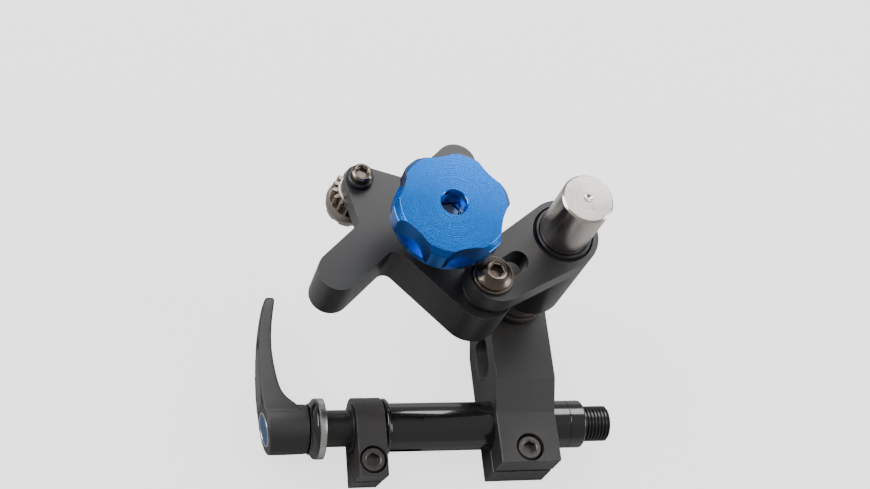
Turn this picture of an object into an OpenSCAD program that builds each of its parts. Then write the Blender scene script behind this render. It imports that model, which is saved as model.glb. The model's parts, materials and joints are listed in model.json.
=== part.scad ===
// Facing fixture for post type disc brake mounts, held on the axle of a bicycle fork.
// Origin: on the axle, at the inner face of the fork leg beside the lever.
// X runs along the axle to the other leg, Z runs up along the guide post.

/* [Axle] */
// distance between the two faces that the fork legs press on
hub_spacing = 100; // [90:1:120]
// radius of the thru axle
axle_r = 7.5; // [6:0.25:10]
// outer radius of the black tube that the clamps grip
tube_r = 10; // [9.5:0.25:13]
// length of the slits in the end of the tube
slit_length = 29; // [15:1:35]
// thickness of the fork leg that the thru axle passes through
leg_thickness = 11; // [6:1:14]

/* [Column] */
// distance from the lever side leg to the middle of the column
column_x = 72.3; // [62:0.1:80]
// width of the column along the axle
column_w = 25.4; // [22:0.2:32]
// distance from the axle to the guide post
post_y = 48.9; // [42:0.5:70]
// radius of the guide post
post_r = 10; // [8:0.5:11]
// height of the top of the guide post above the axle
post_top = 111.5; // [100:0.5:140]
// depth of the column in front of the axle at the clamp
clamp_front = 13; // [12.5:0.5:18]
// depth of the column behind the axle
column_back = 14; // [13:0.5:18]
// height of the seat that the guide post stands on
seat_z = 19.4; // [17:0.2:24]

/* [Arm] */
// angle of the slotted arm in plan
arm_angle = 211; // [195:0.5:225]
// distance from the guide post to the middle of the rounded arm end
arm_reach = 32.9; // [32:0.1:45]
// thickness of the slotted arm
arm_t = 9.8; // [7:0.2:12]
// height of the top of the slotted arm above the axle
arm_top = 82.5; // [78:0.5:95]
// outer radius of the long hub around the guide post
hub_r = 14.5; // [14:0.25:18]
// bottom of the long hub above the axle
hub_bottom = 38; // [32:1:45]

/* [Plate] */
// angle in plan from the pivot to the cutter
plate_angle = 133.3; // [120:0.1:150]
// thickness of the thick part of the plate
plate_t = 22; // [20:0.5:26]
// thickness of the slim nose above the cutter
nose_t = 8.6; // [7:0.2:10]
// distance from the pivot to the cutter
cutter_x = 65; // [64:0.5:80]
// distance from the pivot to the cross bar
bar_x = 43.9; // [43.4:0.1:50]
// distance from the middle of the plate to each wing end
wing_reach = 35.1; // [25:0.5:45]
// radius of the rounded wing ends
wing_r = 8.2; // [6:0.2:11]
// radius of the rounded plate end at the pivot
lobe_r = 12.2; // [12:0.1:15]

/* [Drive] */
// tooth size of the gears
gear_module = 1; // [0.8:0.05:1.2]
// teeth on the cutter and on the drive shaft
small_teeth = 16; // [14:2:20]
// teeth on the idler gear between them
idler_teeth = 22; // [18:2:26]
// face width of the gears
gear_w = 6.2; // [4:0.2:7]
// radius of the cutting face
cutter_r = 10; // [8:0.5:12]
// outer radius of the knob over its lobes
knob_r = 22.3; // [18:0.1:26]
// height of the knob from flange to top
knob_h = 14.8; // [12:0.2:20]

/* [Lever] */
// reach of the lever above the axle
lever_reach = 58; // [40:1:80]
// radius of the lever barrel
barrel_r = 10.3; // [9.5:0.1:13]

/* [Hidden] */
$fn = 96;

shaft_gap = 0.05;
bore_gap = 0.03;
press_gap = 0.03;
waist_r = axle_r - 0.5;
tube_wall = 1.45;
sleeve_r = tube_r - tube_wall - shaft_gap;
sleeve_bore = waist_r + shaft_gap;
ring_x = 13.7;
ring_w = 2;
end_cap_t = 0.9;
collar_w = 11.8;
tube_right = hub_spacing - 7;
washer_x = -leg_thickness;
leg_washer_t = 2.9;
cone_x = washer_x - leg_washer_t;
shaft_x = cone_x - 3.2;
barrel_x0 = cone_x - 21.6;
barrel_x1 = cone_x - 3.5;
slit_w = 2.4;
jaw_gap = 1.8;
back_step = 3.3;
post_back = column_back - back_step;
post_shoulder = -5.8;
collar_tilt = 6;
screw_y = -tube_r - 3.9;
arm_bottom = arm_top - arm_t;
spacer_t = 2.7;
plate_top = arm_bottom - spacer_t;
plate_bottom = plate_top - plate_t;
nose_bottom = plate_top - nose_t;
washer_t = 1;
gear_top = nose_bottom - washer_t;
gear_bottom = gear_top - gear_w;
bolt_r = 4;
bolt_reach = arm_reach + 3.1;
slot_near = arm_reach - 9.4;
slot_r = bolt_r + 0.3;
bush_r = post_r + 2.2;
bolt_x = column_x + bolt_reach * cos(arm_angle);
bolt_y = post_y + bolt_reach * sin(arm_angle);
small_pitch_r = gear_module * small_teeth / 2;
idler_pitch_r = gear_module * idler_teeth / 2;
idler_x = cutter_x - small_pitch_r - idler_pitch_r;
drive_x = idler_x - idler_pitch_r - small_pitch_r;
addendum = gear_module;
cover_t = 2;
boss_top = plate_top + 18.9;
knob_bottom = boss_top + 0.3;
knob_top = knob_bottom + knob_h;
pressure_angle = 20;

// cylinder along the axle
module along_x(r, x0, x1) {
  translate([x0, 0, 0])
    rotate([0, 90, 0])
      cylinder(r = r, h = x1 - x0);
}

// ring along the axle
module ring_x(ro, ri, x0, x1) {
  difference() {
    along_x(ro, x0, x1);
    along_x(ri, x0 - 1, x1 + 1);
  }
}

// upright cylinder between two heights
module post(r, z0, z1) {
  translate([0, 0, z0])
    cylinder(r = r, h = z1 - z0);
}

// upright hexagon between two heights, measured over its corners
module hex_post(r, z0, z1) {
  translate([0, 0, z0])
    cylinder(r = r, h = z1 - z0, $fn = 6);
}

// turned shape around the X axis from a profile of [radius, x]
module turned_x(profile) {
  rotate([0, 90, 0])
    rotate_extrude()
      polygon(profile);
}

// places children in the frame of the guide post
module at_post() {
  translate([column_x, post_y, 0])
    children();
}

// places children in the frame of the slotted arm, its own X pointing to the arm end
module at_arm() {
  at_post()
    rotate([0, 0, arm_angle])
      children();
}

// places children in the frame of the plate, its own X pointing to the cutter
module at_plate() {
  translate([bolt_x, bolt_y, 0])
    rotate([0, 0, plate_angle])
      children();
}

// places children on a gear axis of the plate
module at_gear(x) {
  at_plate()
    translate([x, 0, 0])
      children();
}

// four sided body of two tangent circles, without the circles
function tangent_quad(d, ra, rb) =
  let (a = acos((ra - rb) / d))
  [
    [ra * cos(a), -ra * sin(a)],
    [d + rb * cos(a), -rb * sin(a)],
    [d + rb * cos(a), rb * sin(a)],
    [ra * cos(a), ra * sin(a)]
  ];

// flat shape of two circles joined by tangents
module link_shape(d, ra, rb) {
  circle(r = ra);
  translate([d, 0])
    circle(r = rb);
  polygon(tangent_quad(d, ra, rb));
}

// flat slot between two points on the X axis
module slot_shape(x0, x1, r) {
  translate([x0, 0])
    circle(r = r);
  translate([x1, 0])
    circle(r = r);
  translate([x0, -r])
    square([x1 - x0, 2 * r]);
}

// involute of the base circle at a radius, in degrees
function inv_at(rb, r) =
  let (a = acos(min(1, rb / r)))
  tan(a) * 180 / PI - a;

function polar(r, a) = [r * cos(a), r * sin(a)];

// outline of a spur gear with a tooth centred on the X axis
function gear_outline(teeth, slack) =
  let (
    rp = gear_module * teeth / 2,
    rb = rp * cos(pressure_angle),
    ro = rp + gear_module,
    ri = rp - 1.25 * gear_module,
    half = 90 / teeth - slack / rp * 90 / PI,
    start = max(rb, ri + 0.05),
    steps = 5,
    radii = [for (i = [0:steps]) start + (ro - start) * i / steps]
  )
  [
    for (k = [0:teeth - 1])
      let (mid = 360 * k / teeth)
      each concat(
        [polar(ri, mid - half - inv_at(rb, rp))],
        [for (r = radii) polar(r, mid - half - inv_at(rb, rp) + inv_at(rb, r))],
        [for (i = [steps:-1:0]) polar(radii[i], mid + half + inv_at(rb, rp) - inv_at(rb, radii[i]))],
        [polar(ri, mid + half + inv_at(rb, rp))]
      )
  ];

module gear_body(teeth, z0, z1) {
  translate([0, 0, z0])
    linear_extrude(height = z1 - z0)
      polygon(gear_outline(teeth, 0.12));
}

// turn of each gear at rest so that the teeth mesh
drive_turn = 0;
idler_turn = 180 / idler_teeth;
cutter_turn = 0;

module axle_shaft() {
  far = hub_spacing + leg_thickness + 1;
  color("#2b2b2d")
    difference() {
      union() {
        along_x(waist_r, shaft_x, hub_spacing);
        along_x(axle_r, washer_x, 0);
        turned_x([
          [0, hub_spacing],
          [axle_r, hub_spacing],
          [axle_r, far - 1],
          [axle_r - 1, far],
          [0, far]
        ]);
        along_x(axle_r + 1.9, shaft_x, shaft_x + 2.2);
      }
      along_x(axle_r - 2.3, -2, far + 1);
      along_x(3 + press_gap, shaft_x - 1, 0);
    }
}

module inner_sleeve() {
  color("#1d1d1f")
    ring_x(sleeve_r, sleeve_bore, end_cap_t, hub_spacing - 30);
}

module left_end_cap() {
  color("#1d1d1f")
    ring_x(tube_r - 0.2, sleeve_bore, 0, end_cap_t);
}

module serrated_washer() {
  color("#b9b4ad")
    ring_x(12.4, waist_r + 0.1, cone_x, washer_x);
}

module lever_cone() {
  color("#1c1c1d")
    difference() {
      turned_x([
        [axle_r + 2.1, cone_x - 3.4],
        [barrel_r - 0.2, cone_x - 3.4],
        [12.3, cone_x - 0.8],
        [12.3, cone_x],
        [axle_r + 2.1, cone_x]
      ]);
      along_x(waist_r + 0.1, cone_x - 4, cone_x + 1);
    }
}

module lever_stud() {
  color("#8e8b88")
    union() {
      along_x(3, shaft_x - 12.6, shaft_x + 6);
      along_x(5, shaft_x - 15, shaft_x - 12.6);
    }
}

module lever_bush() {
  color("#77757a")
    ring_x(6, 3 + shaft_gap, shaft_x - 8, shaft_x - 0.8);
}

// lever outline in the plane of the axle and the arm, from the barrel to the tip
function lever_side(x0) =
  let (t = lever_reach)
  [
    [x0 + 16.6, 0],
    [x0 + 16.6, 0.165 * t],
    [x0 + 13.6, 0.175 * t],
    [x0 + 11.4, 0.205 * t],
    [x0 + 9.2, 0.26 * t],
    [x0 + 7.4, 0.33 * t],
    [x0 + 6.2, 0.42 * t],
    [x0 + 5.7, 0.54 * t],
    [x0 + 5.8, 0.66 * t],
    [x0 + 6.4, 0.78 * t],
    [x0 + 7.8, 0.92 * t],
    [x0 + 8.8, t - 1],
    [x0 + 8.2, t],
    [x0 + 4.7, t],
    [x0 + 4.1, t - 0.5],
    [x0 + 2.7, 0.9 * t],
    [x0 + 0.9, 0.76 * t],
    [x0 - 0.5, 0.56 * t],
    [x0 - 0.8, 0.38 * t],
    [x0 - 0.5, 0.16 * t],
    [x0, 0]
  ];

// lever outline across its width
function lever_front() =
  let (t = lever_reach)
  [
    [9.2, 0],
    [7.6, 0.25 * t],
    [5.6, 0.5 * t],
    [4.4, 0.8 * t],
    [3.9, t - 1.2],
    [2.7, t],
    [-2.7, t],
    [-3.9, t - 1.2],
    [-4.4, 0.8 * t],
    [-5.6, 0.5 * t],
    [-7.6, 0.25 * t],
    [-9.2, 0]
  ];

module lever_handle() {
  color("#3b3b3a")
    difference() {
      union() {
        turned_x([
          [0, barrel_x0 - 0.6],
          [8.8, barrel_x0 - 0.6],
          [barrel_r - 0.4, barrel_x0 + 0.6],
          [barrel_r, barrel_x0 + 3],
          [barrel_r, barrel_x1],
          [0, barrel_x1]
        ]);
        intersection() {
          translate([0, 0, -12])
            linear_extrude(height = 24)
              polygon(lever_side(barrel_x0));
          translate([barrel_x0 - 6, 0, 0])
            rotate([90, 0, 90])
              linear_extrude(height = 40)
                polygon([for (p = lever_front()) [p[1], p[0]]]);
        }
      }
      along_x(6 + shaft_gap, barrel_x0 + 2.4, barrel_x1 + 1);
      along_x(7.2, barrel_x0 - 2, barrel_x0);
    }
}

module lever_badge() {
  color("#2a5f93")
    along_x(7.15, barrel_x0 - 0.9, barrel_x0);
}

module tube_slits() {
  for (a = [0, 90, 180, 270])
    rotate([a, 0, 0]) {
      translate([end_cap_t - 1, -slit_w / 2, 0])
        cube([slit_length + 1 - slit_w / 2, slit_w, tube_r + 2]);
      translate([end_cap_t + slit_length - slit_w / 2, 0, 0])
        cylinder(r = slit_w / 2, h = tube_r + 2);
    }
}

module axle_tube() {
  color("#121213")
    difference() {
      along_x(tube_r, end_cap_t, tube_right);
      along_x(sleeve_r + shaft_gap, end_cap_t - 1, tube_right + 1);
      tube_slits();
    }
}

module tube_ring() {
  color("#19191a")
    difference() {
      turned_x([
        [0, ring_x],
        [tube_r + 1.6, ring_x],
        [tube_r + 2, ring_x + 0.4],
        [tube_r + 2, ring_x + 1.1],
        [tube_r + 1.2, ring_x + ring_w],
        [0, ring_x + ring_w]
      ]);
      along_x(tube_r + press_gap, ring_x - 1, ring_x + 4);
    }
}

module right_end_cap() {
  color("#19191a")
    difference() {
      union() {
        along_x(sleeve_r + shaft_gap, tube_right - 12, tube_right);
        turned_x([
          [0, tube_right],
          [tube_r - 0.3, tube_right],
          [tube_r, tube_right + 0.3],
          [tube_r, hub_spacing - 0.6],
          [tube_r - 0.6, hub_spacing],
          [0, hub_spacing]
        ]);
      }
      along_x(axle_r + shaft_gap, tube_right - 14, hub_spacing + 2);
    }
}

module collar_clamp() {
  front = tube_r + 2.3;
  back = tube_r + 2.5;
  low = -tube_r - 12.2;
  color("#2f2d2c")
    translate([end_cap_t, 0, 0])
      rotate([collar_tilt, 0, 0])
        difference() {
          union() {
            along_x(front, 0, collar_w);
            translate([0, low, -back])
              cube([collar_w, -low, back + front]);
          }
          along_x(tube_r + bore_gap, -1, collar_w + 1);
          translate([-1, low - 1, -jaw_gap / 2])
            cube([collar_w + 2, -low - tube_r + 4, jaw_gap]);
          translate([collar_w / 2, low + 6.6, 0]) {
            post(5.6, front - 5.8, front + 1);
            post(3.2, 0, front);
            post(3, -back - 1, 0);
          }
        }
}

module cap_screw(r, head_r, head_h, z_head, z_end, hex_r) {
  difference() {
    union() {
      post(r, z_end, z_head);
      translate([0, 0, z_head])
        cylinder(r = head_r, h = head_h - 0.5);
      translate([0, 0, z_head + head_h - 0.5])
        cylinder(r1 = head_r, r2 = head_r - 0.5, h = 0.5);
    }
    hex_post(hex_r, z_head + head_h * 0.45, z_head + head_h + 1);
  }
}

module collar_screw() {
  front = tube_r + 2.3;
  color("#2a2826")
    translate([end_cap_t + collar_w / 2, 0, 0])
      rotate([collar_tilt, 0, 0])
        translate([0, -tube_r - 5.6, 0])
          cap_screw(3, 5, 5.2, front - 5.8, -tube_r - 1.5, 2.9);
}

module clamp_column() {
  x0 = column_x - column_w / 2;
  bottom = -tube_r - 10;
  color("#343231")
    difference() {
      union() {
        translate([x0, 0, 0])
          rotate([90, 0, 90])
            linear_extrude(height = column_w)
              polygon([
                [bottom, -column_back],
                [post_y - column_w / 2 - 0.7, -column_back],
                [post_y - column_w / 2 - 0.7 + 2.2 * back_step, -post_back],
                [post_y, -post_back],
                [post_y, seat_z],
                [13.5, seat_z],
                [0.9, clamp_front],
                [bottom, clamp_front]
              ]);
        at_post()
          post(column_w / 2, -post_back, seat_z);
      }
      along_x(tube_r + bore_gap, x0 - 1, x0 + column_w + 1);
      translate([x0 - 1, bottom - 1, -jaw_gap / 2])
        cube([column_w + 2, -bottom - tube_r + 4, jaw_gap]);
      translate([column_x, screw_y, 0]) {
        post(5.8, clamp_front - 6, clamp_front + 1);
        post(3.2, 0, clamp_front);
        post(3, -column_back + 3, 0);
      }
      for (side = [0, 1])
        translate([x0 - 1 + side * (column_w / 2 + 3), 0, 3])
          rotate([90, 0, 90])
            linear_extrude(height = column_w / 2 - 1)
              window_shape();
      at_post() {
        post(7, -1, seat_z + 1);
        post(4.2, -post_back - 1, 0);
        post(7.2, -post_back - 1, post_shoulder);
      }
    }
}

// blind window in each side of the column
module window_shape() {
  wy0 = 20;
  wy1 = post_y - 11.5;
  wz = 7.8;
  wr = 4.5;
  for (y = [wy0 + wr, wy1 - wr], z = [-wz + wr, wz - wr])
    translate([y, z])
      circle(r = wr);
  translate([wy0 + wr, -wz])
    square([wy1 - wy0 - 2 * wr, 2 * wz]);
  translate([wy0, -wz + wr])
    square([wy1 - wy0, 2 * wz - 2 * wr]);
}

module column_screw() {
  color("#2a2826")
    translate([column_x, screw_y, 0])
      cap_screw(3, 5, 5.4, clamp_front - 6, -column_back + 3.2, 2.9);
}

module guide_post() {
  color("#b5aca4")
    at_post()
      difference() {
        union() {
          post(7 - press_gap, -1, seat_z);
          post(post_r + 1.5, seat_z, seat_z + 4);
          post(post_r, seat_z + 4, post_top - 0.8);
          translate([0, 0, post_top - 0.8])
            cylinder(r1 = post_r, r2 = post_r - 0.8, h = 0.8);
        }
        post(4, -2, 13);
        translate([0, 0, post_top - 1.4])
          cylinder(r1 = 0.3, r2 = 2.1, h = 1.5);
      }
}

module post_screw() {
  color("#2a2826")
    at_post()
      rotate([180, 0, 0])
        cap_screw(4, 6.5, 4.6, -post_shoulder, -11, 3.5);
}

module bushing(z0, z1) {
  difference() {
    post(bush_r, z0, z1);
    post(post_r + bore_gap, z0 - 1, z1 + 1);
    translate([0, 0, z1 - 0.8])
      cylinder(r1 = post_r + bore_gap, r2 = post_r + 1, h = 0.9);
  }
}

module upper_bushing() {
  color("#55555a")
    at_post()
      bushing(arm_top - 20, arm_top);
}

module lower_bushing() {
  color("#55555a")
    at_post()
      bushing(hub_bottom, hub_bottom + 18);
}

module slotted_arm() {
  color("#454549")
    at_arm()
      difference() {
        union() {
          post(hub_r, hub_bottom, arm_top);
          translate([0, 0, arm_bottom])
            linear_extrude(height = arm_t)
              link_shape(arm_reach, hub_r, 11.7);
        }
        post(bush_r + shaft_gap, hub_bottom - 1, arm_top + 1);
        translate([0, 0, arm_bottom - 1])
          linear_extrude(height = arm_t + 2)
            slot_shape(slot_near, bolt_reach + 0.2, slot_r);
        translate([0, 0, arm_top - 5])
          rotate([0, 90, 301.9])
            cylinder(r = 2, h = hub_r + 4);
      }
}

module arm_set_screw() {
  color("#3c3c3e")
    at_arm()
      translate([0, 0, arm_top - 5])
        rotate([0, 90, 301.9])
          difference() {
            translate([0, 0, bush_r + 0.4])
              cylinder(r = 2 - press_gap, h = hub_r + 1.2 - bush_r);
            translate([0, 0, hub_r])
              cylinder(r = 1.15, h = 3, $fn = 6);
          }
}

module slot_bolt() {
  head = arm_top + 1.5;
  color("#6f655b")
    translate([bolt_x, bolt_y, 0])
      difference() {
        union() {
          post(bolt_r, plate_bottom + 1, head);
          translate([0, 0, head])
            cylinder(r = 7, h = 1);
          translate([0, 0, head + 1])
            cylinder(r1 = 7, r2 = 4, h = 3.2);
        }
        hex_post(2.9, head + 1.6, head + 5);
      }
}

module slot_washer() {
  color("#7a6f63")
    translate([bolt_x, bolt_y, 0])
      difference() {
        post(8, arm_top, arm_top + 1.5);
        post(bolt_r + 0.1, arm_top - 1, arm_top + 3);
      }
}

module pivot_spacer() {
  color("#1d1d1f")
    translate([bolt_x, bolt_y, 0])
      difference() {
        post(9, plate_top, arm_bottom);
        post(bolt_r + 0.1, plate_top - 1, arm_bottom + 1);
      }
}

module pivot_nut() {
  color("#6f655b")
    translate([bolt_x, bolt_y, 0])
      difference() {
        hex_post(7.4, plate_bottom + 1.4, plate_bottom + 7.9);
        post(bolt_r, plate_bottom, plate_bottom + 9);
      }
}

// flat corner filler left outside a rounding of radius r, corner at the origin, sides at a0 and a1
module corner_fill(a0, a1, r) {
  half = (a1 - a0) / 2;
  reach = r / tan(half);
  lap = 0.3;
  difference() {
    polygon([
      polar(-lap, a0 + half),
      polar(reach, a0) + polar(lap, a0 - 90),
      polar(reach, a0),
      polar(r / sin(half), a0 + half),
      polar(reach, a1),
      polar(reach, a1) + polar(lap, a1 + 90)
    ]);
    rotate(a0 + half)
      translate([r / sin(half), 0])
        circle(r = r);
  }
}

nose_r = 6;
nose_edge = 30;
bar_out = bar_x + wing_r;
bar_in = bar_x - wing_r;
nose_in = nose_r - 0.02;
nose_foot = nose_in / cos(nose_edge) + (cutter_x - bar_out) * tan(nose_edge);

module plate_shape() {
  circle(r = lobe_r);
  translate([0, -lobe_r])
    square([bar_x + 1, 2 * lobe_r]);
  for (s = [-1, 1])
    translate([bar_x, s * wing_reach])
      circle(r = wing_r);
  translate([bar_in, -wing_reach])
    square([2 * wing_r, 2 * wing_reach]);
  translate([cutter_x, 0])
    circle(r = nose_r);
  polygon([
    [bar_x - 2, -nose_foot + 1],
    [bar_out, -nose_foot],
    [cutter_x + nose_in * sin(nose_edge), -nose_in * cos(nose_edge)],
    [cutter_x + nose_in * sin(nose_edge), nose_in * cos(nose_edge)],
    [bar_out, nose_foot],
    [bar_x - 2, nose_foot - 1]
  ]);
  translate([bar_in, lobe_r])
    corner_fill(90, 180, 4);
  translate([bar_in, -lobe_r])
    corner_fill(180, 270, 4);
  translate([bar_out, nose_foot])
    corner_fill(-nose_edge, 90, 3);
  translate([bar_out, -nose_foot])
    corner_fill(-90, nose_edge, 3);
}

module gear_pocket(grow) {
  translate([idler_x, 0])
    circle(r = idler_pitch_r + addendum + 0.5 + grow);
  translate([drive_x, 0])
    circle(r = small_pitch_r + addendum + 0.8 + grow);
}

cover_ear_y = 18.5;
cover_ear_x = drive_x - 13.2;

module cover_shape(grow) {
  gear_pocket(1 + grow);
  translate([bar_x, -cover_ear_y])
    circle(r = 4.2 + grow);
  translate([bar_x, cover_ear_y])
    circle(r = 4.2 + grow);
  translate([bar_x - 4.2 - grow, -cover_ear_y])
    square([8.4 + 2 * grow, 2 * cover_ear_y]);
  translate([cover_ear_x, 0])
    circle(r = 4.2 + grow);
  translate([cover_ear_x, -4.2 - grow])
    square([8, 8.4 + 2 * grow]);
}

nose_step = idler_x + 7.3;

module drive_plate() {
  color("#48484c")
    at_plate()
      difference() {
        translate([0, 0, plate_bottom])
          linear_extrude(height = plate_t)
            plate_shape();
        translate([nose_step, -30, plate_bottom - 1])
          cube([40, 60, nose_bottom - plate_bottom + 1]);
        translate([0, 0, plate_bottom + cover_t])
          linear_extrude(height = nose_bottom - plate_bottom - cover_t)
            gear_pocket(0);
        translate([0, 0, plate_bottom - 1])
          linear_extrude(height = cover_t + 1)
            cover_shape(0.1);
        post(bolt_r + 0.06, plate_bottom - 1, plate_top + 1);
        post(8, plate_bottom - 1, plate_bottom + 8.2);
        translate([cutter_x, 0, 0])
          post(4.5, nose_bottom - 1, plate_top + 1);
        translate([drive_x, 0, 0])
          post(7, nose_bottom - 1, plate_top + 1);
        translate([idler_x, 0, 0])
          post(4, nose_bottom - 1, nose_bottom + 5);
        cover_holes(1.5, plate_bottom - 1, plate_bottom + 8);
      }
}

module cover_holes(r, z0, z1) {
  for (p = [[bar_x, -cover_ear_y], [bar_x, cover_ear_y], [cover_ear_x, 0]])
    translate([p[0], p[1], 0])
      post(r, z0, z1);
}

module knob_boss() {
  color("#1d1d1f")
    at_gear(drive_x)
      difference() {
        union() {
          post(7 - press_gap, nose_bottom + 0.2, plate_top);
          post(8.5, plate_top, boss_top);
        }
        post(5 + shaft_gap, nose_bottom - 1, boss_top + 1);
      }
}

module spindle_bush() {
  color("#1a1a1b")
    at_gear(cutter_x)
      difference() {
        union() {
          post(4.5 - press_gap, nose_bottom, plate_top);
          translate([0, 0, plate_top])
            cylinder(r = 5.2, h = 1.8);
          translate([0, 0, plate_top + 1.8])
            cylinder(r1 = 5.2, r2 = 4.6, h = 0.6);
        }
        post(3 + shaft_gap, nose_bottom - 1, plate_top + 4);
      }
}

module nylon_washer() {
  color("#e9e9e4")
    at_gear(cutter_x)
      difference() {
        post(6.6, gear_top + 0.05, nose_bottom);
        post(3.4, gear_top - 1, nose_bottom + 1);
      }
}

module idler_pin() {
  color("#8e8b88")
    at_gear(idler_x)
      post(4 - press_gap, plate_bottom + cover_t + 0.1, nose_bottom + 4.8);
}

module gear_cover() {
  color("#2b2b2e")
    at_plate()
      difference() {
        translate([0, 0, plate_bottom])
          linear_extrude(height = cover_t)
            intersection() {
              cover_shape(0);
              translate([-20, -40])
                square([nose_step + 20, 80]);
            }
        cover_holes(1.7, plate_bottom - 1, plate_bottom + 4);
        for (p = [[bar_x, -cover_ear_y], [bar_x, cover_ear_y], [cover_ear_x, 0]])
          translate([p[0], p[1], plate_bottom - 0.1])
            cylinder(r1 = 2.9, r2 = 1.7, h = 1.3);
      }
}

module cover_screws() {
  color("#2a2826")
    at_plate()
      for (p = [[bar_x, -cover_ear_y], [bar_x, cover_ear_y], [cover_ear_x, 0]])
        translate([p[0], p[1], 0])
          difference() {
            union() {
              translate([0, 0, plate_bottom])
                cylinder(r1 = 2.75, r2 = 1.5, h = 1.25);
              post(1.5, plate_bottom + 1.25, plate_bottom + 7.5);
            }
            hex_post(1.15, plate_bottom - 1, plate_bottom + 0.9);
          }
}

scallops = 6;
scallop_min = knob_r - 3.2;
scallop_r = 25;
scallop_turn = 40;

module drive_knob() {
  flange_r = knob_r - 1.5;
  flange_h = 3.6;
  color("#3f86c6")
    at_gear(drive_x)
      rotate([0, 0, scallop_turn - plate_angle])
        difference() {
          translate([0, 0, knob_bottom])
            rotate_extrude()
              polygon([
                [0, 0],
                [flange_r - 1, 0],
                [flange_r, 1],
                [flange_r, flange_h],
                [knob_r - 0.4, flange_h + 0.8],
                [knob_r, flange_h + 1.2],
                [knob_r, knob_h - 2.3],
                [knob_r - 0.3, knob_h - 1.9],
                [knob_r - 1.7, knob_h],
                [0, knob_h]
              ]);
          for (k = [0:scallops - 1])
            rotate([0, 0, 360 / scallops * k])
              translate([scallop_min + scallop_r, 0, knob_bottom + flange_h])
                cylinder(r = scallop_r, h = knob_h);
          post(5 + press_gap, knob_bottom - 1, knob_bottom + 6.6);
          hex_post(4.62, knob_bottom + 6, knob_top + 1);
          post(4.95, knob_top - 1.6, knob_top + 1);
        }
}

module drive_shaft() {
  color("#8e8b88")
    at_gear(drive_x) {
      post(5, plate_bottom + cover_t + 0.3, knob_bottom + 6.4);
      rotate([0, 0, drive_turn])
        gear_body(small_teeth, gear_bottom, gear_top);
    }
}

module idler_gear() {
  color("#97938e")
    at_gear(idler_x)
      difference() {
        rotate([0, 0, idler_turn])
          gear_body(idler_teeth, gear_bottom, gear_top);
        post(4 + press_gap, gear_bottom - 1, gear_top + 1);
      }
}

module cutter() {
  bottom = gear_bottom - 7.5;
  color("#8a8078")
    at_gear(cutter_x)
      difference() {
        union() {
          rotate([0, 0, cutter_turn])
            gear_body(small_teeth, gear_bottom - 0.1, gear_top);
          translate([0, 0, gear_bottom - 3])
            cylinder(r1 = cutter_r, r2 = cutter_r - 0.8, h = 3);
          translate([0, 0, bottom])
            cylinder(r1 = cutter_r - 0.7, r2 = cutter_r, h = gear_bottom - 3 - bottom);
          post(2.9, bottom - 6, bottom);
          translate([0, 0, bottom - 7])
            cylinder(r1 = 1.9, r2 = 2.9, h = 1);
        }
        post(3, gear_bottom - 2, gear_top + 1);
        for (k = [0:7])
          rotate([0, 0, 45 * k])
            translate([4.2, 0, bottom - 1])
              cube([cutter_r, 2.4, 2.2]);
      }
}

module spindle_screw() {
  head = plate_top + 2.5;
  color("#8d857c")
    at_gear(cutter_x)
      difference() {
        union() {
          post(3, gear_bottom - 1.9, head);
          translate([0, 0, head])
            cylinder(r = 3.9, h = 2.6);
          translate([0, 0, head + 2.6])
            cylinder(r1 = 3.9, r2 = 3.5, h = 0.4);
        }
        hex_post(2.35, head + 0.8, head + 4);
      }
}

axle_shaft();
inner_sleeve();
left_end_cap();
serrated_washer();
lever_cone();
lever_stud();
lever_bush();
lever_handle();
lever_badge();
axle_tube();
tube_ring();
right_end_cap();
collar_clamp();
collar_screw();
clamp_column();
column_screw();
guide_post();
post_screw();
upper_bushing();
lower_bushing();
slotted_arm();
arm_set_screw();
slot_bolt();
slot_washer();
pivot_spacer();
pivot_nut();
drive_plate();
knob_boss();
spindle_bush();
nylon_washer();
idler_pin();
gear_cover();
cover_screws();
drive_knob();
drive_shaft();
idler_gear();
cutter();
spindle_screw();
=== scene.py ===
import json
import math
import bpy
from mathutils import Matrix, Quaternion, Vector


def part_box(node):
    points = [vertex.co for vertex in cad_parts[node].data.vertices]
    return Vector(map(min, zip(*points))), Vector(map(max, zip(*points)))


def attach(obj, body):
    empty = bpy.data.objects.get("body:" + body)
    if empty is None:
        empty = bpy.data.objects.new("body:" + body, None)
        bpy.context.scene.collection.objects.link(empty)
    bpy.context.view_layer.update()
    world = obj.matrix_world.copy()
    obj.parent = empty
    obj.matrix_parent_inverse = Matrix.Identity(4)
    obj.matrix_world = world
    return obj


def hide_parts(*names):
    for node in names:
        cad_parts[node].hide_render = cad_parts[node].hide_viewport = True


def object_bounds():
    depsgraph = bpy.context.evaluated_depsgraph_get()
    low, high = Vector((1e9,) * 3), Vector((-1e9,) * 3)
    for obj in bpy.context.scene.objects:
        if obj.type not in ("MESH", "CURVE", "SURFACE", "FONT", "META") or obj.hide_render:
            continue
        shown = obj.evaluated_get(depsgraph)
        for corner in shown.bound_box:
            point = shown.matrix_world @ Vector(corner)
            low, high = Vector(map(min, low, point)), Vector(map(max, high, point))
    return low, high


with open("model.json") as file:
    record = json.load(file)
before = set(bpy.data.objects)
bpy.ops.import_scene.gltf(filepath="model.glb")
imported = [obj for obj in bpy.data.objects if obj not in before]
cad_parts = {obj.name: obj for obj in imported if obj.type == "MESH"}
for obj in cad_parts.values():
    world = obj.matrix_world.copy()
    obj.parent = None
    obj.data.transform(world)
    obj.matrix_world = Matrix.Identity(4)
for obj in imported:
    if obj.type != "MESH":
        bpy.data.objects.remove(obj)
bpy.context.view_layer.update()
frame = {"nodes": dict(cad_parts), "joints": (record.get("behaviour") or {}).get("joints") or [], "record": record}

joints = {j["name"]: j for j in frame["joints"]}
nodes = frame["nodes"]


def mm(value):
    return value * 0.001


def axisOf(jointName):
    return Vector(joints[jointName]["pos_m"])


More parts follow.
